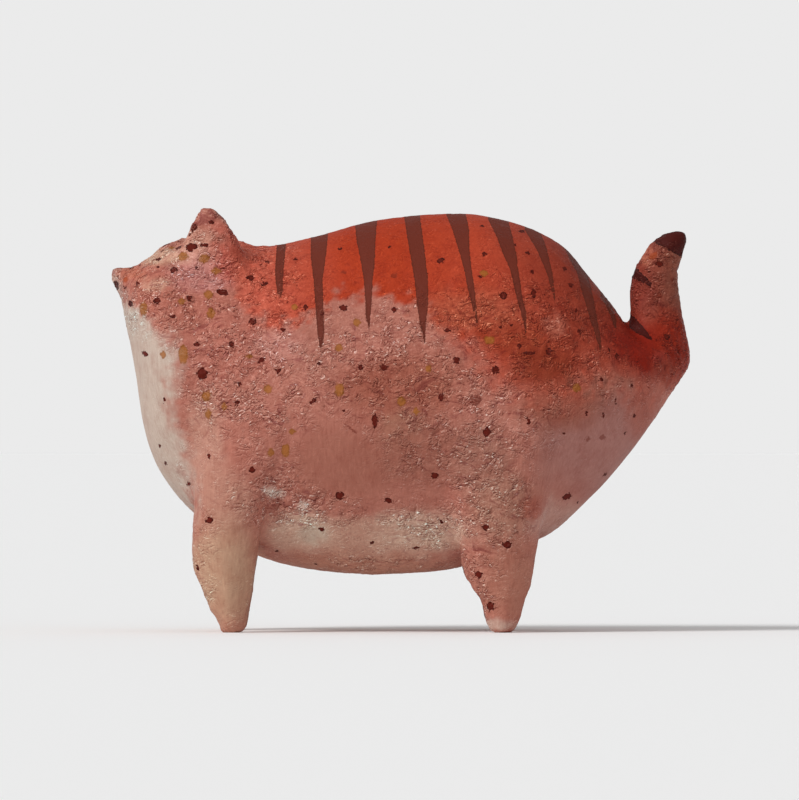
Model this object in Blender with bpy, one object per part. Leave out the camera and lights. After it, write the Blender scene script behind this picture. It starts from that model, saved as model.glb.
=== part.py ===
# A fat papier-mache cat that stands on four short peg legs, in metres.
# +Z is up, the head points to -X, the tail to +X, and the origin is on the ground, under the middle.
# Body, head, ears, legs and tail are one shell of paper, so they are one solid.

from collections import namedtuple
from math import atan2, cos, radians, sin

import bmesh
import bpy
from mathutils import Vector

# Driving dimensions
LENGTH = 0.240  # nose tip to rump
HEIGHT = 0.176  # soles to ear tips
WIDTH = 0.126  # across the belly
FRONT_SPREAD = 0.072  # between the centres of the front soles
REAR_SPREAD = 0.076  # between the centres of the rear soles
EAR_SPREAD = 0.054  # between the ear tips
SOLE_DEPTH = 0.0009  # how much of each rounded foot is pressed flat by the ground

# The shell is a smooth surface through rings of points, from the nose to the tip of the tail.
# Each ring runs through a point on the cat's top outline and one on its bottom outline.
# x is a percentage of LENGTH from the nose, z of HEIGHT from the ground, and width of WIDTH.
# pear makes a ring wider below its middle.
Ring = namedtuple("Ring", "top_x top_z bottom_x bottom_z width pear")
RINGS = (
    Ring(1.0, 85.6, 0.9, 81.1, 11, 0.00),  # nose
    Ring(4.8, 86.1, 2.0, 78.1, 34, 0.05),  # muzzle
    Ring(8.1, 90.2, 3.2, 69.1, 54, 0.12),  # brow and throat
    Ring(12.6, 92.6, 4.8, 57.3, 69, 0.18),  # front of the ears, and chest
    Ring(17.8, 92.0, 7.3, 41.7, 78, 0.21),  # crown
    Ring(24.4, 90.8, 13.7, 28.6, 84, 0.22),  # nape, and front of the forelegs
    Ring(30.1, 91.5, 19.9, 22.0, 89, 0.23),  # shoulders
    Ring(37.4, 94.0, 26.5, 17.2, 93, 0.23),
    Ring(46.2, 97.1, 42.2, 13.6, 96, 0.23),  # back and belly
    Ring(58.3, 98.5, 59.0, 14.6, 96, 0.22),  # front of the hind legs
    Ring(67.3, 97.3, 67.0, 18.2, 94, 0.20),  # hips
    Ring(76.3, 92.5, 75.3, 22.5, 88, 0.17),
    Ring(81.1, 86.4, 82.5, 31.0, 79, 0.12),  # rump
    Ring(87.1, 76.2, 90.5, 43.6, 61, 0.06),
    Ring(89.6, 71.6, 98.3, 58.9, 37, 0.00),  # root of the tail
    Ring(89.8, 76.7, 99.9, 66.3, 22, 0.00),
    Ring(90.2, 83.5, 98.2, 78.5, 15, 0.00),
    Ring(92.8, 90.3, 98.0, 85.1, 13, 0.00),
    Ring(96.0, 93.7, 99.1, 90.1, 9, 0.00),  # tip of the tail
)
NOSE_TIP = (0.0, 83.8)  # x and z, as in the rings
TAIL_TIP = (99.5, 94.1)
FULLNESS = 0.88  # of the rings: 1 makes them oval, and less makes them squarer

# Angles of a ring's points from its top, and where each limb sits on the grid of rings and angles
RING_ANGLES = (0, 25, 52, 99, 153, 180)
BOTTOM = len(RING_ANGLES) - 1
EAR_COLUMNS = (1, 2)
LEG_COLUMNS = (3, 4)
EAR_RINGS = (3, 4, 5)
FRONT_LEG_RINGS = (5, 6, 7)
REAR_LEG_RINGS = (9, 10, 11)

# A leg is drawn out of the body through rounds, and the last one is its sole.
# x is a percentage of LENGTH, and z, length and width of HEIGHT. spread is how far apart a pair of
# legs is there, as a percentage of the distance between the middles of their soles.
LegRound = namedtuple("LegRound", "x z length width spread")
FRONT_LEG = (
    LegRound(19.8, 18.4, 15.0, 14.0, 106),
    LegRound(20.7, 3.5, 7.8, 7.8, 101),
    LegRound(20.7, 0.0, 3.4, 3.4, 100),
)
REAR_LEG = (
    LegRound(66.9, 15.0, 16.3, 13.2, 105),
    LegRound(67.7, 8.3, 10.6, 10.2, 102),
    LegRound(67.6, 3.0, 7.8, 7.8, 101),
    LegRound(67.4, 0.0, 3.4, 3.4, 100),
)

# An ear is drawn out through flattened rounds. spread is a percentage of EAR_SPREAD.
EarRound = namedtuple("EarRound", "front_x back_x z half_thickness spread")
EAR = (
    EarRound(12.9, 22.2, 90.6, 3.9, 94),
    EarRound(14.0, 20.8, 94.3, 2.9, 97),
    EarRound(15.8, 18.0, 98.9, 1.2, 100),
)

SMOOTHING = 2  # levels of subdivision
FITTING_ROUNDS = 20  # of pushing the cage out, until the surface passes through the rings
GROUND_MARGIN = 0.05  # of the block that presses the soles flat


def place(x, y, z):
    """A point from percentages of LENGTH and HEIGHT, with y in metres."""
    return Vector(((x / 100 - 0.5) * LENGTH, y, z / 100 * HEIGHT))


def ring_point(ring, column):
    """A point of a ring. Columns run from 0 at the top to BOTTOM, and are negative on the -Y side."""
    angle = radians(RING_ANGLES[abs(column)])
    down = (1 - cos(angle)) / 2
    side = ring.width / 100 * WIDTH / 2 * abs(sin(angle)) ** FULLNESS * (1 - ring.pear * cos(angle))
    return place(
        ring.top_x + (ring.bottom_x - ring.top_x) * down,
        side if column > 0 else -side,
        ring.top_z + (ring.bottom_z - ring.top_z) * down,
    )


def add_rings(bm):
    """Makes the rings and the faces between them, and returns the points by ring and column."""
    grid = {}
    for i, ring in enumerate(RINGS):
        for column in range(1 - BOTTOM, BOTTOM + 1):
            grid[i, column] = bm.verts.new(ring_point(ring, column))
        grid[i, -BOTTOM] = grid[i, BOTTOM]
    for i in range(len(RINGS) - 1):
        for column in range(-BOTTOM, BOTTOM):
            bm.faces.new(
                (grid[i, column], grid[i, column + 1], grid[i + 1, column + 1], grid[i + 1, column])
            )
    return grid


def close_end(bm, grid, ring, tip):
    """Closes an end of the shell with a fan of faces around its tip."""
    centre = bm.verts.new(place(tip[0], 0, tip[1]))
    for column in range(-BOTTOM, BOTTOM):
        bm.faces.new((grid[ring, column], grid[ring, column + 1], centre))


def patch_of(grid, rings, columns, side):
    """The part of the grid that a limb grows from, by steps along and around from its middle."""
    return {
        (i - 1, (j - 0.5) * side): grid[ring, column * side]
        for i, ring in enumerate(rings)
        for j, column in enumerate(columns)
    }


def draw_out(bm, patch, place_at):
    """Extrudes a patch of faces and puts each of its points where place_at(along, around) says."""
    faces = [face for face in bm.faces if all(v in patch.values() for v in face.verts)]
    step_at = {tuple(v.co): step for step, v in patch.items()}
    drawn = bmesh.ops.extrude_face_region(bm, geom=faces)["geom"]
    bmesh.ops.delete(bm, geom=faces, context="FACES")
    points = [v for v in drawn if isinstance(v, bmesh.types.BMVert)]
    grown = {step_at[tuple(v.co)]: v for v in points}
    for step, v in grown.items():
        v.co = place_at(*step)
    return grown


def add_leg(bm, patch, rounds, spread, side):
    """Draws a leg out of its patch, round by round, down to a sole just below the ground."""
    for leg_round in rounds:

        def place_at(along, around):
            angle = atan2(around, along)
            middle = side * leg_round.spread / 100 * spread / 2
            centre = place(leg_round.x, middle, leg_round.z)
            reach = Vector((leg_round.length * cos(angle), -leg_round.width * sin(angle), 0))
            return centre + reach / 200 * HEIGHT

        patch = draw_out(bm, patch, place_at)
    for v in patch.values():
        v.co.z = -SOLE_DEPTH


def add_ear(bm, patch, side):
    """Draws an ear out of its patch: a flattened cone, wider along the head than across."""
    for ear_round in EAR:

        def place_at(along, around):
            share = (along + 1) / 2
            thinning = 1 if along == 0 else 0.6
            middle = side * ear_round.spread / 100 * EAR_SPREAD / 2
            out = 2 * around * thinning * ear_round.half_thickness / 100 * HEIGHT
            x = ear_round.front_x + (ear_round.back_x - ear_round.front_x) * share
            return place(x, middle + out, ear_round.z)

        patch = draw_out(bm, patch, place_at)


def fit_through_points(cat):
    """Pushes the cage out until the smooth surface passes through the points it was built from."""
    wanted = [v.co.copy() for v in cat.data.vertices]
    for _ in range(FITTING_ROUNDS):
        graph = bpy.context.evaluated_depsgraph_get()
        surface = cat.evaluated_get(graph).data.vertices
        missing = [point - surface[i].co for i, point in enumerate(wanted)]
        for v, offset in zip(cat.data.vertices, missing):
            v.co += offset
        cat.data.update()
        cat.update_tag()


def add_smoothing(cat):
    smooth = cat.modifiers.new("smooth shell", "SUBSURF")
    smooth.levels = smooth.render_levels = SMOOTHING
    smooth.use_limit_surface = True


def press_soles_flat(cat):
    """Cuts off what is below the ground, so that each foot has a flat sole at z = 0."""
    size = Vector((LENGTH, WIDTH, HEIGHT)) + Vector.Fill(3, GROUND_MARGIN)
    bpy.ops.mesh.primitive_cube_add(size=1, location=(0, 0, -size.z / 2))
    ground = bpy.context.object
    ground.name = "ground_block"
    ground.scale = size
    ground.hide_render = True
    ground.display_type = "WIRE"
    cut = cat.modifiers.new("flat soles", "BOOLEAN")
    cut.operation = "DIFFERENCE"
    cut.object = ground


def painted_paper():
    material = bpy.data.materials.new("painted paper")
    material.use_nodes = True
    shader = material.node_tree.nodes["Principled BSDF"]
    shader.inputs["Base Color"].default_value = (0.42, 0.15, 0.10, 1)
    shader.inputs["Roughness"].default_value = 0.5
    shader.inputs["Metallic"].default_value = 0
    return material


def make_cat():
    bm = bmesh.new()
    grid = add_rings(bm)
    close_end(bm, grid, 0, NOSE_TIP)
    close_end(bm, grid, len(RINGS) - 1, TAIL_TIP)
    for side in (-1, 1):
        for rings, rounds, spread in (
            (FRONT_LEG_RINGS, FRONT_LEG, FRONT_SPREAD),
            (REAR_LEG_RINGS, REAR_LEG, REAR_SPREAD),
        ):
            add_leg(bm, patch_of(grid, rings, LEG_COLUMNS, side), rounds, spread, side)
        add_ear(bm, patch_of(grid, EAR_RINGS, EAR_COLUMNS, side), side)
    bmesh.ops.recalc_face_normals(bm, faces=bm.faces)
    mesh = bpy.data.meshes.new("cat")
    bm.to_mesh(mesh)
    bm.free()
    mesh.materials.append(painted_paper())
    mesh.shade_smooth()
    cat = bpy.data.objects.new("cat", mesh)
    bpy.context.scene.collection.objects.link(cat)
    add_smoothing(cat)
    fit_through_points(cat)
    press_soles_flat(cat)
    return cat


for old in list(bpy.data.objects):
    bpy.data.objects.remove(old)
make_cat()
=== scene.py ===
from collections import namedtuple
from math import cos, hypot, pi, radians, sin

import bmesh
import bpy
import numpy as np
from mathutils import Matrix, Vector
from mathutils.bvhtree import BVHTree


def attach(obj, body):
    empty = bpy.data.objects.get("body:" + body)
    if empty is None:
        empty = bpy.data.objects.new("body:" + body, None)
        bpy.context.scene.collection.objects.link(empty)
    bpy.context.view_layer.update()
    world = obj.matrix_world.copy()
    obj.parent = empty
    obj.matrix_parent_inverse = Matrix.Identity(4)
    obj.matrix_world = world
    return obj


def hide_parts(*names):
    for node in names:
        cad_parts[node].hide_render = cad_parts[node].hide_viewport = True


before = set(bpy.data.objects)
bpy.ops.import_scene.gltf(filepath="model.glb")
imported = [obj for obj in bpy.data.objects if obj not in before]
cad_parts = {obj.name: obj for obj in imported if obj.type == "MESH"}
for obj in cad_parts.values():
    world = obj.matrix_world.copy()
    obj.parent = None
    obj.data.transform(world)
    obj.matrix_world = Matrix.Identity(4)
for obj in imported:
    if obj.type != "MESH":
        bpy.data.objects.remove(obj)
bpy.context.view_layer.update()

MM = 0.001
NEAR, FAR = -1, 1  # the sides of the cat, by the sign of y

# The picture's frame. The paint is placed by points of the picture, in its pixels.
PIXEL = 0.4152 * MM  # of the picture, on the cat
PICTURE_SIZE = (799, 800)
MIDDLE_X = 400  # of the cat's origin in the picture
GROUND_Y = 631  # of the ground in the picture
TAIL_X = 640  # marks to the right of this are on the tail

# Mesh of the skin
VOXEL = 1.34 * MM
WELD = 1e-6  # points nearer than this become one
FLAT_ANGLE, SQUARE_ANGLE = 25, 50  # how far off two triangles may be to join, in degrees
SMOOTH_ROUNDS = 7
SMOOTH_STEPS = (0.5, -0.52)  # towards the neighbours, and back so that the skin doesn't shrink
MARK_MARGIN = 0.9 * MM  # around a mark, where the faces are split

# The ends of the legs are pressed a little broader than the solid's
FOOT_HEIGHT, FOOT_SPREAD = 10 * MM, 1.3 * MM
HIND_FOOT = 0.4  # of the spread of a forefoot
SOLE_HEIGHT = 0.3 * MM  # points below this are on a sole
PRESSED_HEIGHT = 0.35 * MM  # points below this are pressed to the ground in the end
ANKLE = 4 * MM  # below this, pushes and relief fade towards the sole

# Small pushes of the skin: x, y and reach in the picture, and how far right and down, all in pixels.
# A share of the reach moves in full.
PUSH_CORE = 0.15
PUSHES = (
    (240, 243, 17, 0, -4.5), (154, 250, 17, 0, 3), (172, 243, 13, 0, 2), (210, 592, 30, 5, 0),
    (216, 620, 14, 3, 0), (212, 562, 20, 3, 0),
)

# Folds that the pulp fills: x and y in the picture, distance from the middle and reach, both in mm,
# and how much of what stands out there is taken off
Crease = namedtuple("Crease", "x y depth reach off")
CREASES = (
    Crease(244, 258, 27, 18, 0.3), Crease(190, 246, 24, 10, 0.25), Crease(238, 250, 20, 14, 0.3),
    Crease(468, 591, 34, 9, 1.0),
)
CREASE_ROUNDS = 45
BODY_CENTRE = (0, 0, 90 * MM)

# Lumps of the hand-made shape: size, and height in mm
BIG_LUMPS, SMALL_LUMPS = (24 * MM, 0.42), (11 * MM, 0.22)
# Relief of the pulp: size of each part, and its share of the pulp's height, which is in mm
WORMS, CRUMBS, PITS = (3.3 * MM, 0.62), (2.2 * MM, 0.5), (5.5 * MM, 0.7)
PULP_HEIGHT = 0.62
DRIFT_SIZE, DRIFT = 3.4 * MM, 1.5 * MM  # of the noise that bends the worms and crumbs
NOISE_SHIFT = 31.7  # moves the noise's grid off the cat's middle
HASH_PRIMES = (374761393, 668265263, 2147483647)

# Marks, each read off the picture: x, y, width, height in pixels and the angle in degrees
Mark = namedtuple("Mark", "x y width height angle", defaults=(0,))

DARK_MARKS = (
    # head
    Mark(180, 248, 9, 7, 35), Mark(205, 246, 8.5, 4), Mark(175, 270.5, 7, 8), Mark(197, 268, 6, 3),
    Mark(223, 269, 5, 3), Mark(212, 223, 7, 4, -20), Mark(195, 228, 6, 7), Mark(191, 235, 5, 3, 30),
    Mark(178, 242, 6, 2.5, 30), Mark(166, 245, 7, 2.5, 25), Mark(163, 251.5, 4, 3),
    Mark(159.5, 260, 6, 4, -35), Mark(159, 267, 4, 3), Mark(141, 265.6, 6, 2),
    Mark(132.5, 268, 6, 2), Mark(139, 284, 8, 4, -20), Mark(126, 288, 6, 3, -15),
    Mark(159, 301, 8, 7), Mark(191, 299, 7, 7), Mark(223.6, 293, 13, 6, -10),
    Mark(251, 278.6, 9, 6), Mark(265, 285, 6, 4), Mark(268, 262, 6, 3), Mark(175, 317, 6, 4),
    Mark(253.5, 322, 8, 7),
    # shoulder, chest and foreleg
    Mark(198.5, 345, 7, 6), Mark(233.4, 345, 5, 5), Mark(146.5, 354, 10, 5, -30),
    Mark(263, 360.5, 11, 6, 40), Mark(203.7, 374, 11, 12), Mark(241.6, 384.6, 6, 5),
    Mark(279.3, 371, 6, 5), Mark(166, 400, 3, 5), Mark(161, 445.6, 3, 5), Mark(167, 463, 2.5, 4),
    Mark(189.7, 483.5, 4, 8, -65), Mark(210.4, 455.4, 5, 5), Mark(253.3, 468.6, 9, 6),
    Mark(210.8, 519.3, 9, 7, 15), Mark(199, 566, 4, 5), Mark(277.4, 550, 4, 2.5),
    Mark(322, 528.5, 5, 4), Mark(316.6, 563.5, 4, 2.5), Mark(239, 403, 5, 6),
    # flank and belly
    Mark(313.8, 401, 4, 9, -65), Mark(375, 420.8, 7, 15), Mark(340.3, 494.8, 8, 8),
    Mark(388.8, 500, 9, 5, -15), Mark(434.6, 475, 8, 9), Mark(372.4, 542, 4, 3),
    Mark(415.8, 546.8, 7, 3, 10), Mark(440.7, 521, 5, 3, -45), Mark(441, 397, 6, 9),
    Mark(344.4, 410.6, 5, 2.5), Mark(494.2, 370.8, 8, 9), Mark(384, 367.6, 10, 7, -15),
    Mark(361, 367.6, 5, 5), Mark(320, 364.4, 5, 3), Mark(446.5, 330.6, 7, 5, -20),
    Mark(456, 360.4, 7, 8), Mark(517.8, 346.6, 4, 6), Mark(528, 353.6, 12, 3),
    # back
    Mark(440.5, 261.5, 8, 6), Mark(428.6, 274, 3, 3), Mark(390, 247.7, 4, 3),
    Mark(340.6, 249, 5, 3), Mark(343.8, 308.6, 8, 7), Mark(394, 310.6, 7, 5),
    Mark(306, 308, 5, 7), Mark(323.3, 314.4, 4, 3), Mark(283.8, 330, 6, 5),
    Mark(295.3, 259.8, 5, 3), Mark(502.5, 296.2, 8, 8), Mark(481.5, 226.7, 5, 3),
    Mark(484, 255, 5, 5), Mark(480, 277.7, 4, 4), Mark(521.6, 231.8, 6, 3),
    Mark(526.7, 254, 5, 4), Mark(531.8, 273, 4, 4), Mark(532.6, 294.4, 5, 9),
    Mark(514.6, 245.8, 3, 3), Mark(563.7, 268.8, 5, 5), Mark(570, 285.4, 6, 5),
    Mark(574.6, 311, 4, 6), Mark(547.8, 351.7, 6, 7), Mark(500, 327.4, 4, 4),
    Mark(511, 326, 3, 2.5), Mark(577.8, 332.6, 5, 6),
    # rump and hind leg
    Mark(607.7, 349.8, 3, 5), Mark(615.4, 356.8, 4, 6), Mark(599.4, 379.7, 4, 4),
    Mark(630.7, 386, 4, 3), Mark(614, 401, 3, 6), Mark(486, 432, 9, 12), Mark(527, 420.6, 4, 8),
    Mark(585, 413, 2.5, 6), Mark(601.7, 415.7, 3, 6), Mark(633, 415.7, 3, 4),
    Mark(562.7, 433, 5, 2.5), Mark(624.4, 433, 3, 3), Mark(604, 474.5, 5, 3, 30),
    Mark(566, 496, 10, 6, 25), Mark(576.8, 502.7, 2.5, 2.5), Mark(485, 526, 8, 7),
    Mark(506, 543.4, 10, 7), Mark(477.8, 573, 9, 8), Mark(489.8, 604.7, 8, 9),
    # tail
    Mark(659, 264, 6, 9, 65), Mark(676.3, 320, 4, 5), Mark(666, 337, 6, 6),
)
FAINT_MARKS = (
    Mark(394, 276.4, 7, 6), Mark(344.4, 273, 5, 4), Mark(586.8, 439, 6, 5), Mark(601, 437, 9, 6),
    Mark(658.5, 296.4, 7, 6), Mark(672, 279.7, 4, 4), Mark(474, 400, 12, 10),
    Mark(351.5, 428.5, 20, 2.4, -38),
)
OCHRE_MARKS = (
    Mark(172, 248, 7, 5), Mark(184, 257, 11, 9), Mark(205, 259.4, 12, 9), Mark(217, 271.6, 12, 8),
    Mark(209.5, 295.4, 9, 10), Mark(183, 302, 8, 8), Mark(145, 309.5, 10, 13),
    Mark(212.3, 314, 9, 12), Mark(165, 355, 7, 8), Mark(185, 355, 10, 19), Mark(250.5, 357, 9, 5),
    Mark(208, 396, 9, 10), Mark(210, 414, 7, 10), Mark(225.7, 406.4, 7, 9),
    Mark(269.2, 389.5, 9, 9), Mark(293, 431.4, 7, 7), Mark(286.5, 449.8, 8, 13),
    Mark(272, 452.3, 7, 9), Mark(295.3, 307.7, 8, 8), Mark(357, 323, 8, 8),
    Mark(339.3, 348.5, 8, 10), Mark(340, 390, 9, 13), Mark(401.3, 401.5, 9, 10),
    Mark(415.8, 411.3, 8, 8), Mark(428, 369, 7, 8), Mark(483.4, 274, 9, 8),
    Mark(488.5, 340.8, 10, 8), Mark(575, 388, 9, 9),
)
RUST_MARKS = (Mark(126.5, 280, 8, 8), Mark(653, 256, 10, 7, 30))
EYE = Mark(192, 248, 14, 9, 12)
FACE_MARKS = (
    Mark(116.5, 285.5, 10, 12, -30),  # nose
    Mark(131.5, 304, 10, 5, -38),  # mouth
)

# Stripes: y, x and width in pixels at points from the spine down, and the tip
STRIPES = (
    ((246, 281.5, 9), (274, 279.7, 8.5), (292, 280.5, 5.5), (303, 281, 0)),
    ((236, 319.5, 17), (256, 318.7, 15.5), (281, 318.5, 9), (307, 320, 8), (333, 321.5, 7),
     (345, 322, 4), (361, 323, 0)),
    ((224, 366, 22), (243, 366.2, 18.5), (262, 368, 14), (281, 368.5, 9), (301, 368.7, 6.5),
     (320, 368.2, 4.5), (333, 370, 0)),
    ((217, 412, 16), (243, 415.7, 15.5), (281, 421.2, 13.5), (307, 422.5, 11), (326, 422.7, 5.5),
     (347, 425, 0)),
    ((215, 456, 19.5), (230, 460.5, 17), (250, 463.5, 11), (269, 467.2, 7.5), (288, 470.5, 7),
     (320, 475.7, 2.5), (344, 480, 0)),
    ((220, 498, 20), (237, 504, 16), (256, 509.5, 13), (269, 513.2, 8.5), (301, 519.2, 5.5),
     (313, 522.7, 5.5), (339, 525, 0)),
    ((230, 532, 15), (250, 541.2, 10.5), (275, 549.2, 5.5), (311, 555.5, 0)),
    ((248, 568, 8), (262, 574.5, 8), (275, 582, 10), (288, 585.2, 10.5), (313, 591, 8),
     (339, 597.2, 4.5), (358, 600.5, 0)),
    ((297, 603, 6), (307, 608.7, 5.5), (320, 613.2, 4.6), (334, 615, 0)),
)

# Washes, painted one over the other: centre and half sizes in pixels, colour and strength
Wash = namedtuple("Wash", "x y half_width half_height colour strength angle", defaults=(0,))

FLANK = (0.67, 0.42, 0.36)
WASHES = (
    Wash(180, 275, 85, 70, (0.69, 0.41, 0.345), 0.9),  # head
    Wash(164, 257, 34, 12, (0.82, 0.67, 0.57), 0.7),
    Wash(198, 240, 20, 16, (0.80, 0.60, 0.52), 0.6),
    Wash(200, 256, 26, 14, (0.82, 0.60, 0.53), 0.55),
    Wash(200, 276, 38, 24, (0.75, 0.50, 0.47), 0.65),
    Wash(130, 274, 22, 9, (0.73, 0.41, 0.31), 0.6),
    Wash(155, 284, 18, 9, (0.78, 0.61, 0.52), 0.6),
    Wash(232, 262, 22, 28, (0.72, 0.34, 0.28), 0.7),
    Wash(224, 232, 9, 20, (0.70, 0.34, 0.28), 0.6, 55),
    Wash(240, 340, 60, 55, (0.69, 0.41, 0.35), 0.8),  # shoulder
    Wash(205, 445, 24, 60, (0.72, 0.53, 0.46), 0.8),
    Wash(225, 500, 36, 45, (0.69, 0.49, 0.42), 0.9),  # foreleg
    Wash(225, 575, 45, 65, (0.72, 0.57, 0.47), 0.95),
    Wash(325, 345, 70, 36, (0.66, 0.42, 0.36), 0.8),  # flank under the stripes
    Wash(400, 385, 80, 45, (0.58, 0.315, 0.245), 0.8),
    Wash(278, 345, 34, 22, (0.74, 0.50, 0.45), 0.6),
    Wash(362, 348, 40, 20, (0.71, 0.45, 0.39), 0.5),
    Wash(400, 430, 28, 26, (0.62, 0.45, 0.36), 0.5),
    Wash(345, 465, 70, 50, (0.60, 0.37, 0.31), 0.85),
    Wash(420, 450, 60, 45, (0.59, 0.36, 0.30), 0.8),
    Wash(480, 465, 36, 50, (0.60, 0.40, 0.34), 0.8),
    Wash(600, 445, 80, 80, (0.63, 0.43, 0.395), 0.95),  # rump
    Wash(590, 372, 50, 36, (0.58, 0.41, 0.35), 0.8),
    Wash(642, 410, 24, 40, (0.62, 0.33, 0.27), 0.7),
    Wash(560, 520, 40, 26, (0.72, 0.55, 0.50), 0.8),
    Wash(360, 565, 115, 20, (0.70, 0.49, 0.41), 0.9),  # belly
    Wash(370, 537, 105, 22, (0.74, 0.58, 0.50), 0.8),
    Wash(300, 530, 40, 26, (0.78, 0.65, 0.57), 0.8),
    Wash(420, 531, 56, 26, (0.79, 0.65, 0.57), 0.85),
    Wash(314, 533, 18, 12, (0.72, 0.65, 0.58), 0.7),
    Wash(276, 492, 13, 8, (0.86, 0.78, 0.72), 0.6),
    Wash(306, 505, 10, 6, (0.86, 0.78, 0.72), 0.5),
    Wash(500, 510, 40, 45, (0.65, 0.45, 0.38), 0.9),  # haunch and hind leg
    Wash(530, 505, 16, 16, (0.62, 0.30, 0.24), 0.6),
    Wash(505, 580, 40, 50, (0.67, 0.44, 0.37), 0.95),
    Wash(495, 624, 22, 9, (0.78, 0.68, 0.62), 0.7),
    Wash(560, 405, 55, 30, (0.57, 0.31, 0.24), 0.75),
)
LATE_WASHES = (
    Wash(555, 326, 12, 14, (0.72, 0.42, 0.34), 0.5),
    Wash(470, 312, 70, 26, (0.64, 0.32, 0.23), 0.6),
    Wash(515, 338, 50, 22, (0.55, 0.22, 0.13), 0.6),
    Wash(541, 366, 42, 30, (0.49, 0.18, 0.10), 0.85),
    Wash(640, 350, 64, 36, (0.505, 0.11, 0.05), 1.0, -15),
    Wash(672, 346, 26, 46, (0.53, 0.14, 0.07), 0.95),
    Wash(668, 372, 18, 16, (0.56, 0.26, 0.20), 0.5),
    Wash(660, 357, 10, 8, (0.62, 0.26, 0.22), 0.4),
    Wash(647, 255, 10, 12, (0.70, 0.40, 0.31), 0.8),
)

# Outlines of the marks, from a lozenge through an oval to a block
MARK_CORNERS = (1.3, 2.6, 1.6, 1.15, 2.0)
# How squarely the skin faces the side view, and how far a mark there runs in y, in halves of its size
MARK_DEPTHS = ((0.25, 0.6), (2.5, 1.6))
SPOT_EDGE = (0.35, 1.15)  # where a wash starts to fade and ends, as a share of its half size

# The far side's stripes differ in length and lean by up to these shares
FAR_STRETCH, FAR_LEAN = 0.16, 0.07

# Dark paint of the tail: a point of a line in the picture, and its slope
Line = namedtuple("Line", "x y slope")
TAIL_TIP = Line(657, 244, 0.54)
TAIL_BAND = Line(635, 273, 0.75)
TAIL_ROOT_BAND = Line(631, 322, 0.85)
BAND_WIDTHS = ((634, 651, 656), (6.5, 2.0, -3))  # half widths at each x, less than 0 past the end
ROOT_BAND_WIDTHS = ((629, 636, 652, 656), (7, 7, 1, -4))
ROOT_BAND_START = 629
TAIL_EDGE, BANDS_END = 622, 345  # x of the tail's front edge, and y below which no band is

# Edges between paints: of the back's orange as x and y, and of the pale chest as y and x
ORANGE_EDGE = (
    (228, 262), (236, 296), (250, 314), (275, 320), (300, 328), (322, 306), (345, 297), (372, 291),
    (395, 303), (420, 304), (440, 326), (470, 352), (500, 378), (560, 388), (600, 380), (650, 372),
)
CHEST_EDGE = (
    (250, 104), (300, 122), (315, 146), (335, 163), (352, 178), (405, 173), (432, 180), (451, 185),
    (474, 191), (507, 192), (540, 186),
)
# How soft the orange's edge is in pixels, and how far from pink to full orange it is, at each x
ORANGE_SOFTNESS = ((250, 330, 420, 470, 560), (16, 12, 16, 60, 70))
REDNESS = ((250, 345, 400, 480, 560, 640), (0, 1, 1, 0.8, 0.5, 0.2))
# How far the washes wander on the near side, and how much farther on the far side, in pixels
WANDER_SIZE, WANDER, FAR_WANDER = 16 * MM, 5, 14
RUMP_X = 600  # the late washes to the right of this stay away from the sides of the rump
RUMP_MIDDLE = (30 * MM, 48 * MM)

# Display colours of the larger paints
CHEST = (0.74, 0.665, 0.61)
ORANGE_AT_NECK, ORANGE_ON_BACK = (0.74, 0.35, 0.27), (0.65, 0.20, 0.075)
RUST = (0.50, 0.175, 0.11)
TAIL_FRONT, TAIL_BACK = (0.52, 0.20, 0.15), (0.52, 0.30, 0.235)

# Where the paper pulp is rough, and where it is smoothed over, which is less than 0
SMOOTHEST, EVERYWHERE = 0.08, 0.30
Rough = namedtuple("Rough", "x y half_width half_height strength angle", defaults=(0,))
ROUGH_PATCHES = (
    Rough(190, 265, 110, 90, 1.0),  # head and ear
    Rough(255, 290, 60, 60, 0.9),
    Rough(500, 325, 140, 50, 0.9),
    Rough(250, 380, 80, 70, 1.0),  # shoulder
    Rough(370, 370, 110, 50, 1.0),  # flank
    Rough(510, 370, 100, 60, 1.0),
    Rough(450, 440, 110, 50, 0.6),
    Rough(270, 490, 46, 40, 0.9),
    Rough(320, 505, 50, 22, 0.8),
    Rough(425, 525, 50, 26, 0.7),
    Rough(490, 500, 45, 60, 1.0),  # haunch
    Rough(475, 580, 26, 45, 0.8),
    Rough(205, 560, 14, 60, 0.4),
    Rough(235, 560, 22, 60, -0.35),
    Rough(300, 300, 30, 26, 0.6),
    Rough(655, 275, 40, 60, 0.9),
    Rough(680, 355, 30, 44, 0.9),
    Rough(620, 370, 50, 34, 0.5),
    Rough(380, 562, 80, 10, 0.6),
    Rough(150, 430, 30, 110, -0.9),  # chest
    Rough(345, 460, 50, 36, -0.4),
    Rough(600, 470, 70, 60, -0.4),
)

# Paints of the marks: strength, middle, rim, how soft the edge is in mm, and how ragged
MARK_PAINTS = {
    "ochre": (0.85, (0.60, 0.36, 0.14), (0.52, 0.30, 0.09), 0.40, 2.2),
    "rust": (0.8, (0.62, 0.27, 0.14), (0.56, 0.22, 0.10), 0.5, 2.2),
    "stripe": (0.97, (0.40, 0.165, 0.115), (0.35, 0.14, 0.09), 0.13, 0.9),
    "faint": (0.6, (0.42, 0.14, 0.08), (0.40, 0.12, 0.07), 0.35, 2.2),
    "dark": (1.0, (0.36, 0.09, 0.045), (0.27, 0.05, 0.02), 0.13, 2.9),
    "face": (1.0, (0.275, 0.07, 0.05), (0.20, 0.045, 0.03), 0.13, 2.2),
}
RIM = (-0.15, -0.7)  # where a mark's rim ends, in mm from its outline
MARK_COVER_ON_LIT = 0.84  # how much a mark's paint covers the painted highlight on the sides of the wrinkles that face the light
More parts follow.
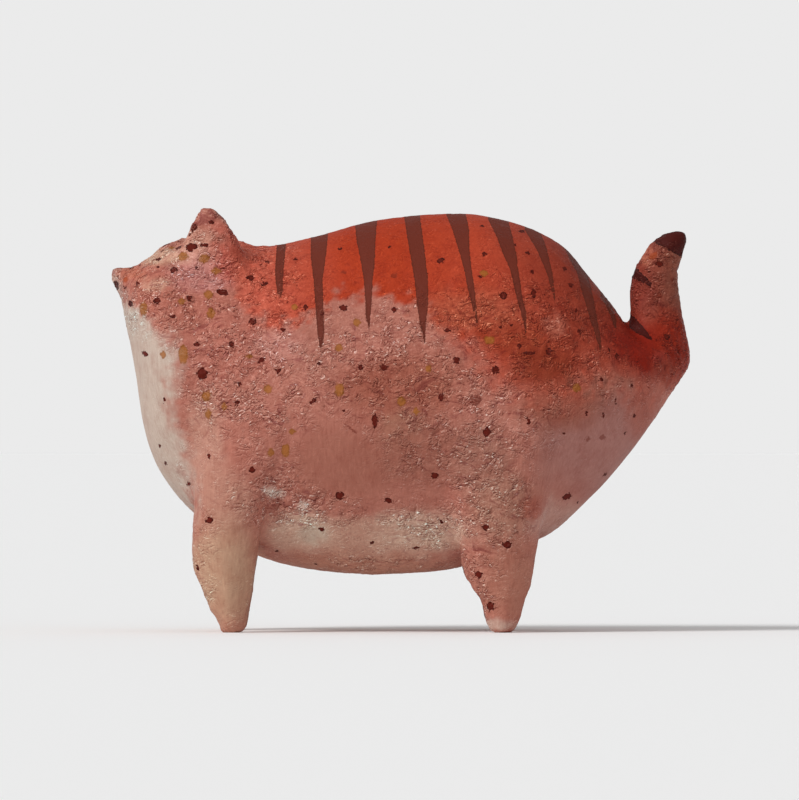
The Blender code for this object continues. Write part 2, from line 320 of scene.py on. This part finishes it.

# Wrinkles in the material: size, detail and where their tops are cut flat
BROAD_WRINKLES = (2.7 * MM, 4, 0.09)
FINE_WRINKLES = (1.0 * MM, 2, 0.10)
WRINKLE_HEIGHT, GRAIN_HEIGHT, BRUSH_HEIGHT = 2.5 * MM, 0.06 * MM, 0.035 * MM
LIT_STEP = (-0.12 * MM, -0.05 * MM, 0.30 * MM)  # towards the key light, to tell the sides of the wrinkles that get a painted highlight from those that get painted shade
GLOSS = 0.10

# Studio
CAMERA_DISTANCE = 6.0
SENSOR = 36.0
FLOOR_SIZE, FLOOR_GREY = 40.0, 0.95
HORIZON, SKY = 0.83, 0.45  # brightness of the room at eye level and above
HORIZON_TOP, SKY_BOTTOM = 0.04, 0.3  # heights between which the one turns into the other
KEY_POWER = 2.1
KEY_WIDTH = 22  # of the key light as seen from the cat, in degrees
KEY_AIM = (0.62, 0.55, -0.72)


def main():
    cat = make_skin(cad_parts["cat"])
    paint(cat)
    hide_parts("cat")
    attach(cat, "root")
    add_studio()


def picture_point(x, y):
    """x and z in metres of a point of the picture."""
    return (x - MIDDLE_X) * PIXEL, (GROUND_Y - y) * PIXEL


def in_picture(points):
    """Where each point is in the picture, in pixels."""
    return MIDDLE_X + points[:, 0] / PIXEL, GROUND_Y - points[:, 2] / PIXEL


def eased(value, low, high):
    """0 below low, 1 above high and smooth between."""
    share = np.clip((value - low) / (high - low), 0, 1)
    return share * share * (3 - 2 * share)


# Noise


def hashed(cells, salt):
    """A whole random number for each cell of a grid."""
    bits = cells @ np.array(HASH_PRIMES) + salt * 974711
    bits = (bits ^ (bits >> 13)) * 1274126177
    return (bits ^ (bits >> 16)) & 0xFFFFFF


def smooth_noise(points, size, salt):
    """Noise between about -1 and 1, with lumps of this size in metres."""
    at = points / size + NOISE_SHIFT
    low = np.floor(at).astype(np.int64)
    part = at - low
    ease = part**3 * (part * (part * 6 - 15) + 10)
    total = np.zeros(len(points))
    for corner in np.ndindex(2, 2, 2):
        corner = np.array(corner)
        number = hashed(low + corner, salt)
        slope = np.stack([(number >> shift & 255) / 127.5 - 1 for shift in (0, 8, 16)], axis=1)
        share = np.prod(np.where(corner, ease, 1 - ease), axis=1)
        total += share * np.sum(slope * (part - corner), axis=1)
    return total * 1.5


# Reading and writing a mesh


def read_vectors(items, field):
    values = np.empty(len(items) * 3)
    items.foreach_get(field, values)
    return values.reshape(-1, 3)


def read_points(mesh):
    return read_vectors(mesh.vertices, "co")


def write_points(mesh, points):
    mesh.vertices.foreach_set("co", points.ravel())
    mesh.update()


def read_edges(mesh):
    edges = np.empty(len(mesh.edges) * 2, dtype=np.int32)
    mesh.edges.foreach_get("vertices", edges)
    return edges.reshape(-1, 2)


def read_values(mesh, name):
    values = np.empty(len(mesh.vertices), dtype=np.float32)
    mesh.attributes[name].data.foreach_get("value", values)
    return values


def give(mesh, name, values, kind="FLOAT"):
    """Gives each point of a mesh its own value or colour."""
    layer = mesh.attributes.new(name, kind, "POINT")
    field = "value" if kind == "FLOAT" else "color"
    layer.data.foreach_set(field, np.ascontiguousarray(values, dtype=np.float32).ravel())


# Skin


def make_skin(solid):
    """A dense even skin over the solid, in its place."""
    cat = bpy.data.objects.new("painted_cat", square_faces(solid.data))
    bpy.context.scene.collection.objects.link(cat)
    even = cat.modifiers.new("even", "SUBSURF")
    even.levels = even.render_levels = 1
    dense = cat.modifiers.new("dense", "REMESH")
    dense.mode = "VOXEL"
    dense.voxel_size = VOXEL
    graph = bpy.context.evaluated_depsgraph_get()
    skin = bpy.data.meshes.new_from_object(cat.evaluated_get(graph))
    cat.modifiers.clear()
    cat.data = skin
    edges = read_edges(skin)
    points = smoothed(read_points(skin), edges)
    write_points(skin, pushed(blunt_feet(fill_creases(points, edges))))
    refine_at_marks(skin)
    roughen(skin)
    skin.shade_smooth()
    return cat


def square_faces(solid_mesh):
    """A copy of the solid's mesh in one piece, with its triangles joined in pairs."""
    mesh = solid_mesh.copy()
    mesh.name = "painted_cat"
    mesh.materials.clear()
    bm = bmesh.new()
    bm.from_mesh(mesh)
    bmesh.ops.remove_doubles(bm, verts=bm.verts, dist=WELD)
    bmesh.ops.join_triangles(
        bm,
        faces=bm.faces,
        angle_face_threshold=radians(FLAT_ANGLE),
        angle_shape_threshold=radians(SQUARE_ANGLE),
    )
    bm.to_mesh(mesh)
    bm.free()
    return mesh


def mean_of_neighbours(points, edges):
    a, b = edges.T
    count = np.bincount(edges.ravel(), minlength=len(points))
    size = len(points)
    sums = [np.bincount(a, part[b], size) + np.bincount(b, part[a], size) for part in points.T]
    return np.stack(sums, axis=1) / count[:, None]


def smoothed(points, edges):
    """Evens out a skin without shrinking it."""
    for step in SMOOTH_STEPS * SMOOTH_ROUNDS:
        points = points + step * (mean_of_neighbours(points, edges) - points)
    return points


def fill_creases(points, edges):
    """Fills the folds near some places with pulp, and takes little off what stands out."""
    weight, off = np.zeros((2, len(points)))
    for crease in CREASES:
        x, z = picture_point(crease.x, crease.y)
        for side in (NEAR, FAR):
            middle = (x, side * crease.depth * MM, z)
            away = np.linalg.norm(points - middle, axis=1) / (crease.reach * MM)
            weight = np.maximum(weight, 1 - eased(away, 0.5, 1))
            off = np.where(away < 1, crease.off, off)
    for _ in range(CREASE_ROUNDS):
        move = mean_of_neighbours(points, edges) - points
        outward = np.sum(move * (points - BODY_CENTRE), axis=1) > 0
        points = points + move * (weight * np.where(outward, 1.0, off))[:, None]
    return points


def blunt_feet(points):
    """Widens the ends of the legs towards the tail and to both sides."""
    points = points.copy()
    for side in (NEAR, FAR):
        for end in (-1, 1):
            foot = (points[:, 1] * side > 0) & (points[:, 0] * end > 0) & (points[:, 2] < FOOT_HEIGHT)
            sole = points[foot & (points[:, 2] < SOLE_HEIGHT)].mean(axis=0)
            away = points[foot] - sole
            away[:, 2] = 0
            length = np.linalg.norm(away, axis=1, keepdims=True)
            share = 1 - eased(points[foot, 2:], 0, FOOT_HEIGHT)
            push = away / (length + WELD) * share * FOOT_SPREAD * eased(length, 0, 2 * MM)
            push[:, 0] = push[:, 0].clip(0) * (1 if end < 0 else HIND_FOOT)
            points[foot] += push
    return points


def pushed(points):
    """Moves the skin a little in the picture's plane."""
    points = points.copy()
    for x, y, reach, right, down in PUSHES:
        point_x, point_y = in_picture(points)
        share = 1 - eased(np.hypot(point_x - x, point_y - y) / reach, PUSH_CORE, 1)
        points[:, 0] += share * right * PIXEL
        points[:, 2] -= share * down * PIXEL * eased(points[:, 2], 0, ANKLE)
    return points


def refine_at_marks(mesh):
    """Splits the faces near small marks, so that their outlines come out clean."""
    tree = skin_tree(mesh)
    points = read_points(mesh)
    near = np.zeros(len(points), dtype=bool)
    for marks in MARK_SETS.values():
        for mark, side in marks:
            reach = max(mark.width, mark.height) / 2 * PIXEL + MARK_MARGIN
            middle = on_skin(tree, mark, side)[0]
            near |= np.sum((points - middle) ** 2, axis=1) < reach**2
    bm = bmesh.new()
    bm.from_mesh(mesh)
    edges = [edge for edge in bm.edges if all(near[v.index] for v in edge.verts)]
    bmesh.ops.subdivide_edges(bm, edges=edges, cuts=1, use_grid_fill=True)
    bm.to_mesh(mesh)
    bm.free()


def roughen(mesh):
    """Gives the skin the lumps of a shape made by hand and the crumbs of paper pulp."""
    mesh.update()
    points, normals = read_points(mesh), read_vectors(mesh.vertex_normals, "vector")
    rough = roughness_of_pulp(points)
    lumps = sum(
        high * smooth_noise(points, size, salt)
        for salt, (size, high) in enumerate((BIG_LUMPS, SMALL_LUMPS), start=1)
    )
    drift = np.stack([smooth_noise(points, DRIFT_SIZE, salt) for salt in (3, 4, 5)], axis=1) * DRIFT
    worms = np.clip(1 - 2.6 * np.abs(smooth_noise(points + drift, WORMS[0], 6)), -0.6, 1)
    crumbs = smooth_noise(points + drift, CRUMBS[0], 7)
    pits = -eased(smooth_noise(points, PITS[0], 8), 0.35, 0.8)
    relief = WORMS[1] * worms + CRUMBS[1] * crumbs + PITS[1] * pits
    height = lumps + rough * PULP_HEIGHT * relief
    # the soles stay flat
    height *= eased(points[:, 2], 0.1 * ANKLE, ANKLE)
    points = points + normals * (height * MM)[:, None]
    points[:, 2] = np.where(points[:, 2] < PRESSED_HEIGHT, 0, points[:, 2])
    write_points(mesh, points)
    give(mesh, "rough", rough)
    give(mesh, "relief", relief)


def roughness_of_pulp(points):
    x, y = in_picture(points)
    wobble = smooth_noise(points, 9 * MM, 11) * 14
    rough = np.full(len(points), EVERYWHERE)
    for patch in ROUGH_PATCHES:
        rough += patch.strength * soft_spot(x + wobble, y + wobble, patch)
    return np.clip(rough, SMOOTHEST, 1)


# Marks


def skin_tree(mesh):
    corners = [v.co for v in mesh.vertices]
    return BVHTree.FromPolygons(corners, [tuple(face.vertices) for face in mesh.polygons])


def on_skin(tree, mark, side):
    """The point of the skin that a mark is seen at from its side, and which way the skin faces."""
    x, z = picture_point(mark.x, mark.y)
    hit, normal = tree.ray_cast(Vector((x, side, z)), Vector((0, -side, 0)))[:2]
    if hit is None or hit.y * side < 0 and mark.x > TAIL_X:
        hit, normal = tree.find_nearest(Vector((x, side * 10 * MM, z)))[:2]
    return np.array(hit), normal


def far_side(marks, salt, keep=0.62, shift=22):
    """Other marks in keeping for the side that the picture doesn't show."""
    rng = np.random.default_rng(salt)
    chosen = []
    for mark in marks:
        if rng.random() < keep:
            right, down = rng.uniform(-shift, shift, 2)
            # less up and down than along the body
            chosen.append(mark._replace(x=mark.x + right, y=mark.y + down * 0.6, angle=-mark.angle))
    return chosen


def on_both_sides(marks, salt):
    return [(mark, NEAR) for mark in marks] + [(mark, FAR) for mark in far_side(marks, salt)]


MARK_SETS = {
    "dark": on_both_sides(DARK_MARKS, 3) + [(EYE, NEAR), (EYE, FAR)],
    "faint": on_both_sides(FAINT_MARKS, 4),
    "ochre": on_both_sides(OCHRE_MARKS, 5),
    "rust": on_both_sides(RUST_MARKS, 6),
    "face": [(mark, side) for mark in FACE_MARKS for side in (NEAR, FAR)],
}


def mark_distance(points, tree, marks):
    """Distance in millimetres to the nearest outline of a mark, less than 0 inside it."""
    best = np.full(len(points), 99.0)
    for i, (mark, side) in enumerate(marks):
        corners = MARK_CORNERS[i % len(MARK_CORNERS)]
        turn = radians(mark.angle)
        middle, normal = on_skin(tree, mark, side)
        depth = np.interp(abs(normal.y), *MARK_DEPTHS)
        offset = (points - middle) / PIXEL
        along = offset[:, 0] * cos(turn) + offset[:, 2] * sin(turn)
        across = offset[:, 2] * cos(turn) - offset[:, 0] * sin(turn)
        a, b = mark.width / 2, mark.height / 2
        flat = (np.abs(along / a) ** corners + np.abs(across / b) ** corners) ** (1 / corners)
        away = np.hypot(flat, offset[:, 1] / (depth * max(a, b)))
        best = np.minimum(best, (away - 1) * (a * b) ** 0.5 * PIXEL / MM)
    return best


def stripe_distance(points):
    """Distance in millimetres to the nearest edge of a stripe, less than 0 inside it."""
    x, y = in_picture(points)
    far = eased(points[:, 1], 2 * MM, 16 * MM)
    best = np.full(len(points), 99.0)
    for i, stripe in enumerate(STRIPES):
        rows = np.array(stripe, dtype=float)
        start, end = rows[0, 0], rows[-1, 0]
        # the sines give each stripe its own length and lean on the far side
        stretch = 1 + far * FAR_STRETCH * sin(2.3 * i + 1)
        down = start + (y - start) / stretch
        lean = far * (down - start).clip(0) * FAR_LEAN * sin(1.7 * i)
        middle = np.interp(down, rows[:, 0], rows[:, 1]) + lean
        width = np.interp(down, rows[:, 0], rows[:, 2]) - (down - end).clip(0)
        best = np.minimum(best, (np.abs(x - middle) - width / 2) * PIXEL / MM)
    return best


def below_line(x, y, line):
    return y - (line.y + (x - line.x) * line.slope)


def tail_distance(points):
    """Distance in millimetres to the dark tip and bands of the tail, less than 0 inside them."""
    x, y = in_picture(points)
    tip = below_line(x, y, TAIL_TIP) / hypot(1, TAIL_TIP.slope)
    band = np.abs(below_line(x, y, TAIL_BAND)) - np.interp(x, *BAND_WIDTHS)
    root = np.abs(below_line(x, y, TAIL_ROOT_BAND)) - np.interp(x, *ROOT_BAND_WIDTHS)
    root = np.maximum(root, ROOT_BAND_START - x)
    best = np.minimum(np.minimum(tip, band), root)
    return np.where((x > TAIL_EDGE) & (y < BANDS_END), best, 99.0) * PIXEL / MM


# Ground colours


def linear(colour):
    """A display colour as light."""
    c = np.asarray(colour, dtype=float)
    return np.where(c <= 0.04045, c / 12.92, ((c + 0.055) / 1.055) ** 2.4)


def mixed(a, b, share):
    return a + (b - a) * share


def over(below, colour, share):
    """A display colour laid over what is below it, with a share for each point."""
    return mixed(below, linear(colour), np.asarray(share)[:, None])


def between(first, last, share):
    """A colour for each point between two display colours."""
    return mixed(linear(first), linear(last), share[:, None])


def soft_spot(x, y, wash):
    """How much a wash covers each point: 1 in its middle, 0 outside it."""
    turn = radians(wash.angle)
    right, up = x - wash.x, wash.y - y
    along, across = right * cos(turn) + up * sin(turn), up * cos(turn) - right * sin(turn)
    away = np.sqrt((along / wash.half_width) ** 2 + (across / wash.half_height) ** 2)
    return 1 - eased(away, *SPOT_EDGE)


def base_colour(points, relief, rough):
    """The ground colours, wash over wash."""
    far = eased(points[:, 1], 0, 20 * MM)
    x, y = in_picture(points)
    x = x + smooth_noise(points, WANDER_SIZE, 21) * (WANDER + FAR_WANDER * far)
    y = y + smooth_noise(points, WANDER_SIZE, 22) * (WANDER + FAR_WANDER * far)
    ragged = smooth_noise(points, 5 * MM, 23) + 0.6 * smooth_noise(points, 2.4 * MM, 24)
    colour = np.tile(linear(FLANK), (len(points), 1))
    for wash in WASHES:
        share = soft_spot(x + ragged * 4, y + ragged * 4, wash) * wash.strength
        colour = over(colour, wash.colour, share)
    chest = np.interp(y, *np.array(CHEST_EDGE, dtype=float).T)
    colour = over(colour, CHEST, 0.95 * eased(chest - x + ragged * 9, -12, 12))
    colour = paint_back(colour, x, y, ragged, relief * rough)
    colour = paint_tail(colour, x, y, ragged, points)
    middle = 1 - eased(np.abs(points[:, 1]) + ragged * 5 * MM, *RUMP_MIDDLE)
    for wash in LATE_WASHES:
        share = soft_spot(x + ragged * 5, y + ragged * 5, wash) * wash.strength
        colour = over(colour, wash.colour, share * (middle if wash.x > RUMP_X else 1))
    return colour


def paint_back(colour, x, y, ragged, crumbs):
    """Orange on the back, with a ragged lower edge, which turns to rust towards the rump."""
    edge = np.interp(x, *np.array(ORANGE_EDGE, dtype=float).T)
    softness = np.interp(x, *ORANGE_SOFTNESS)
    above = (edge - y + ragged * 14 + crumbs * 7) / softness
    start = eased(x + ragged * 6, 216, 250)
    orange = between(ORANGE_AT_NECK, ORANGE_ON_BACK, np.interp(x, *REDNESS))
    colour = mixed(colour, orange, (eased(above, -0.6, 0.6) * start)[:, None] * 0.97)
    return over(colour, RUST, eased(x, 470, 575) * eased(above, -0.2, 1.0) * 0.85)


def paint_tail(colour, x, y, ragged, points):
    """Brown on the tail, which is redder in front."""
    brown = between(TAIL_FRONT, TAIL_BACK, np.interp(x + ragged * 3, (636, 684), (0, 1)))
    true_x, true_y = in_picture(points)
    on_tail = eased(true_x, TAIL_EDGE, 634) * eased(-true_y, -360, -320) * eased(-y, -335, -300)
    return mixed(colour, brown, on_tail[:, None])


def paint(cat):
    mesh = cat.data
    tree = skin_tree(mesh)
    points = read_points(mesh)
    for name, marks in MARK_SETS.items():
        distance = mark_distance(points, tree, marks)
        if name == "face":
            distance = np.minimum(distance, tail_distance(points))
        give(mesh, name, distance)
    give(mesh, "stripe", stripe_distance(points))
    colour = base_colour(points, read_values(mesh, "relief"), read_values(mesh, "rough"))
    opaque = np.ones((len(points), 1))
    give(mesh, "wash", np.concatenate([colour.clip(0, 1), opaque], axis=1), "FLOAT_COLOR")
    mesh.materials.clear()
    mesh.materials.append(painted_paper())


# Materials


class Nodes:
    """Short ways to add nodes to a material or a world."""

    def __init__(self, owner):
        owner.use_nodes = True
        self.all = owner.node_tree.nodes
        self.links = owner.node_tree.links
        self.place = self.all.new("ShaderNodeTexCoord").outputs["Object"]

    def put(self, socket, value):
        """Links a socket to another one, or sets its value."""
        if isinstance(value, bpy.types.NodeSocket):
            self.links.new(value, socket)
        else:
            socket.default_value = value

    def attribute(self, name, output="Fac"):
        node = self.all.new("ShaderNodeAttribute")
        node.attribute_name = name
        return node.outputs[output]

    def math(self, operation, *values):
        node = self.all.new("ShaderNodeMath")
        node.operation = operation
        for socket, value in zip(node.inputs, values):
            self.put(socket, value)
        return node.outputs[0]

    def add(self, a, b):
        return self.math("ADD", a, b)

    def times(self, a, b):
        return self.math("MULTIPLY", a, b)

    def noise(self, size, detail, stretch=(1, 1, 1), at=None, output="Fac"):
        """Noise with features of this size in metres."""
        scaled = self.all.new("ShaderNodeMapping")
        self.put(scaled.inputs["Vector"], at or self.place)
        scaled.inputs["Scale"].default_value = [1 / (size * s) for s in stretch]
        node = self.all.new("ShaderNodeTexNoise")
        self.put(node.inputs["Vector"], scaled.outputs[0])
        node.inputs["Scale"].default_value = 1
        node.inputs["Detail"].default_value = detail
        return node.outputs[output]

    def moved(self, at, offset, size=1.0):
        """A place moved by an offset, which is either fixed or the colour of a noise."""
        node = self.all.new("ShaderNodeVectorMath")
        node.operation = "MULTIPLY_ADD"
        self.put(node.inputs[0], offset)
        node.inputs[1].default_value = (size, size, size)
        self.put(node.inputs[2], at)
        return node.outputs[0]

    def ramp(self, value, low, high, to_low=0.0, to_high=1.0):
        """to_low below low, to_high above high and smooth between."""
        node = self.all.new("ShaderNodeMapRange")
        node.interpolation_type = "SMOOTHSTEP"
        self.put(node.inputs["Value"], value)
        node.inputs["From Min"].default_value = low
        node.inputs["From Max"].default_value = high
        node.inputs["To Min"].default_value = to_low
        node.inputs["To Max"].default_value = to_high
        return node.outputs[0]

    def mix(self, share, a, b, how="MIX"):
        """A colour between two, or the first with the second laid over it in some other way."""
        node = self.all.new("ShaderNodeMix")
        node.data_type = "RGBA"
        node.blend_type = how
        self.put(node.inputs["Factor"], share)
        sockets = {socket.identifier: socket for socket in node.inputs}
        self.put(sockets["A_Color"], a)
        self.put(sockets["B_Color"], b)
        return next(socket for socket in node.outputs if socket.identifier == "Result_Color")

    def tinted(self, colour, share, tint):
        """A colour that is multiplied by a tint, by a share."""
        return self.mix(share, colour, self.mix(1.0, colour, (*tint, 1), "MULTIPLY"))

    def bump(self, height, distance, normal=None):
        node = self.all.new("ShaderNodeBump")
        node.inputs["Strength"].default_value = 1
        node.inputs["Distance"].default_value = distance
        self.put(node.inputs["Height"], height)
        if normal is not None:
            self.put(node.inputs["Normal"], normal)
        return node.outputs[0]


def opaque_light(colour):
    """A display colour as a shader takes it."""
    return (*[float(part) for part in linear(colour)], 1)


def wrinkles(nodes, at):
    """Height of the crumpled pulp: round humps with sharp furrows between them."""
    bent = nodes.moved(at, nodes.noise(5 * MM, 2, at=at, output="Color"), 6 * MM)

    def humps(size, detail, top):
        off_middle = nodes.math("SUBTRACT", nodes.noise(size, detail, (1.4, 1, 1), bent), 0.5)
        return nodes.math("MINIMUM", nodes.math("ABSOLUTE", off_middle), top)

    return nodes.add(humps(*BROAD_WRINKLES), nodes.times(humps(*FINE_WRINKLES), 0.5))


def uneven_paint(nodes, colour, rough, clouds, streaks):
    """Clouds, fine streaks and, over the rough pulp, flowing brush strokes."""
    flow = nodes.moved(nodes.place, nodes.noise(15 * MM, 1, output="Color"), 26 * MM)
    strokes = nodes.noise(1.5 * MM, 3, (7, 1.6, 1), flow)
    colour = nodes.tinted(colour, nodes.ramp(clouds, 0.42, 0.70, 0, 0.5), (0.82, 0.68, 0.66))
    colour = nodes.tinted(colour, nodes.ramp(streaks, 0.50, 0.75, 0, 0.5), (0.78, 0.66, 0.64))
    colour = nodes.tinted(colour, nodes.ramp(streaks, 0.48, 0.25, 0, 0.5), (1.25, 1.30, 1.30))
    mauve = nodes.times(nodes.ramp(strokes, 0.54, 0.72), rough)
    pale = nodes.times(nodes.ramp(strokes, 0.44, 0.28), rough)
    colour = nodes.tinted(colour, mauve, (0.66, 0.50, 0.54))
    return nodes.tinted(colour, pale, (1.20, 1.30, 1.34))


def pale_paint_and_painted_light(nodes, colour, rough, lit_crests, shaded_undersides):
    """Pale paint rubbed over what stands out, which is partly a painted highlight, painted shade in
    the hollows, and on the wrinkles painted highlight and glints on the sides that face the light and
    painted shade on the sides away from it.
    """
    relief = nodes.attribute("relief")
    # pale paint on the tops of the relief, partly a painted highlight, and painted shade in its
    # hollows
    pale_and_lit_tops = nodes.times(nodes.ramp(relief, 0.2, 0.9), rough)
    shaded_hollows = nodes.times(nodes.ramp(relief, -0.10, -0.75), rough)
    # painted glints on the sides of the wrinkles that face the light, and small spots of painted
    # shade on the sides away from it
    painted_glints = nodes.times(lit_crests, nodes.ramp(nodes.noise(1.6 * MM, 2), 0.54, 0.64))
    pits = nodes.times(shaded_undersides, nodes.ramp(nodes.noise(1.9 * MM, 2), 0.54, 0.64))
    for share, tint in (
        # in turn: pale paint and painted highlight on the tops, painted shade in the hollows, painted
        # shade on the sides away from the light, painted highlight on the sides facing it, painted
        # glints, spots of painted shade
        (pale_and_lit_tops, (1.08, 1.14, 1.15)),
        (nodes.times(shaded_hollows, 0.55), (0.66, 0.50, 0.48)),
        (nodes.times(shaded_undersides, 0.9), (0.48, 0.30, 0.28)),
        (nodes.times(lit_crests, 0.9), (1.4, 1.8, 1.9)),
        (painted_glints, (1.7, 2.7, 3.1)),
        (pits, (0.5, 0.34, 0.32)),
    ):
        colour = nodes.tinted(colour, share, tint)
    return colour


def painted_marks(nodes, colour, lit_crests):
    """Marks, whose paint gathers in a darker rim and is thinner on the sides of the wrinkles that
    face the light, so that the painted highlight there shows through.
    """
    # thinner paint where the wrinkles face the light, so that the painted highlight shows through
    cover_on_lit = nodes.ramp(lit_crests, 0.3, 0.9, 1, MARK_COVER_ON_LIT)
    edge = nodes.math("SUBTRACT", nodes.noise(1.2 * MM, 2), 0.5)
    for name, (strength, middle, rim, soft, ragged) in MARK_PAINTS.items():
        distance = nodes.attribute(name)
        inside = nodes.ramp(nodes.add(distance, nodes.times(edge, ragged)), soft, -soft)
        mark = nodes.mix(nodes.ramp(distance, *RIM), opaque_light(rim), opaque_light(middle))
        colour = nodes.mix(nodes.times(inside, nodes.times(cover_on_lit, strength)), colour, mark)
    return colour


def painted_paper():
    material = bpy.data.materials.new("painted paper pulp")
    nodes = Nodes(material)
    shader = nodes.all["Principled BSDF"]
    rough = nodes.attribute("rough")
    clouds = nodes.noise(7 * MM, 4)
    streaks = nodes.noise(0.9 * MM, 3, (1, 1, 9))
    across = nodes.noise(0.8 * MM, 3, (7, 7, 1))
    pulp = nodes.times(rough, nodes.ramp(nodes.noise(6 * MM, 2.5), 0.41, 0.57, 0.24, 1))
    # the sides of the wrinkles that face the light are painted lighter, a painted highlight, and are
    # glossier; the sides away from it are painted darker, a painted shade
    height = wrinkles(nodes, nodes.place)
    rise = nodes.math("SUBTRACT", height, wrinkles(nodes, nodes.moved(nodes.place, LIT_STEP)))
    # painted highlight where the wrinkles face the light, painted shade where they face away
    lit_crests = nodes.times(nodes.ramp(rise, 0.008, 0.055), pulp)
    shaded_undersides = nodes.times(nodes.ramp(rise, -0.006, -0.050), pulp)

    colour = uneven_paint(nodes, nodes.attribute("wash", "Color"), rough, clouds, streaks)
    colour = pale_paint_and_painted_light(nodes, colour, rough, lit_crests, shaded_undersides)
    nodes.put(shader.inputs["Base Color"], painted_marks(nodes, colour, lit_crests))

    normal = nodes.bump(nodes.times(height, pulp), WRINKLE_HEIGHT)
    normal = nodes.bump(nodes.noise(0.55 * MM, 3), GRAIN_HEIGHT, normal)
    normal = nodes.bump(nodes.add(streaks, across), BRUSH_HEIGHT, normal)
    nodes.put(shader.inputs["Normal"], normal)
    nodes.put(shader.inputs["Roughness"], nodes.ramp(lit_crests, 0.0, 0.5, 0.60, 0.30))
    shader.inputs["Specular IOR Level"].default_value = GLOSS
    return material


# Studio


def add_studio():
    add_floor()
    add_room()
    add_key_light()
    add_camera()
    bpy.context.scene.view_settings.view_transform = "Standard"


def add_object(name, data):
    holder = bpy.data.objects.new(name, data)
    bpy.context.scene.collection.objects.link(holder)
    return holder


def add_floor():
    mesh = bpy.data.meshes.new("floor")
    half = FLOOR_SIZE / 2
    corners = [(-half, -half, 0), (half, -half, 0), (half, half, 0), (-half, half, 0)]
    mesh.from_pydata(corners, [], [(0, 1, 2, 3)])
    material = bpy.data.materials.new("pale floor")
    material.use_nodes = True
    shader = material.node_tree.nodes["Principled BSDF"]
    shader.inputs["Base Color"].default_value = (FLOOR_GREY, FLOOR_GREY, FLOOR_GREY, 1)
    shader.inputs["Roughness"].default_value = 0.8
    mesh.materials.append(material)
    floor = add_object("floor", mesh)


def add_room():
    """Soft light from all around, brighter near the horizon."""
    world = bpy.data.worlds.new("studio")
    nodes = Nodes(world)
    way = nodes.all.new("ShaderNodeSeparateXYZ")
    nodes.put(way.inputs[0], nodes.place)
    up = nodes.math("ABSOLUTE", way.outputs["Z"])
    back = nodes.all["Background"]
    back.inputs["Color"].default_value = (1, 1, 1, 1)
    nodes.put(back.inputs["Strength"], nodes.ramp(up, HORIZON_TOP, SKY_BOTTOM, HORIZON, SKY))
    bpy.context.scene.world = world


def add_key_light():
    light = bpy.data.lights.new("key", "SUN")
    light.energy = KEY_POWER
    light.angle = radians(KEY_WIDTH)
    add_object("key", light).rotation_euler = Vector(KEY_AIM).to_track_quat("-Z", "Y").to_euler()


def add_camera():
    """Looks along +Y from so far that the view is nearly flat, and frames what the picture does."""
    camera = bpy.data.cameras.new("camera")
    camera.sensor_width = SENSOR
    camera.lens = SENSOR * CAMERA_DISTANCE / (max(PICTURE_SIZE) * PIXEL)
    camera.clip_start, camera.clip_end = 0.1, 60
    holder = add_object("camera", camera)
    x, z = picture_point(PICTURE_SIZE[0] / 2, PICTURE_SIZE[1] / 2)
    holder.location = (x, -CAMERA_DISTANCE, z)
    holder.rotation_euler = (pi / 2, 0, 0)
    bpy.context.scene.camera = holder


main()
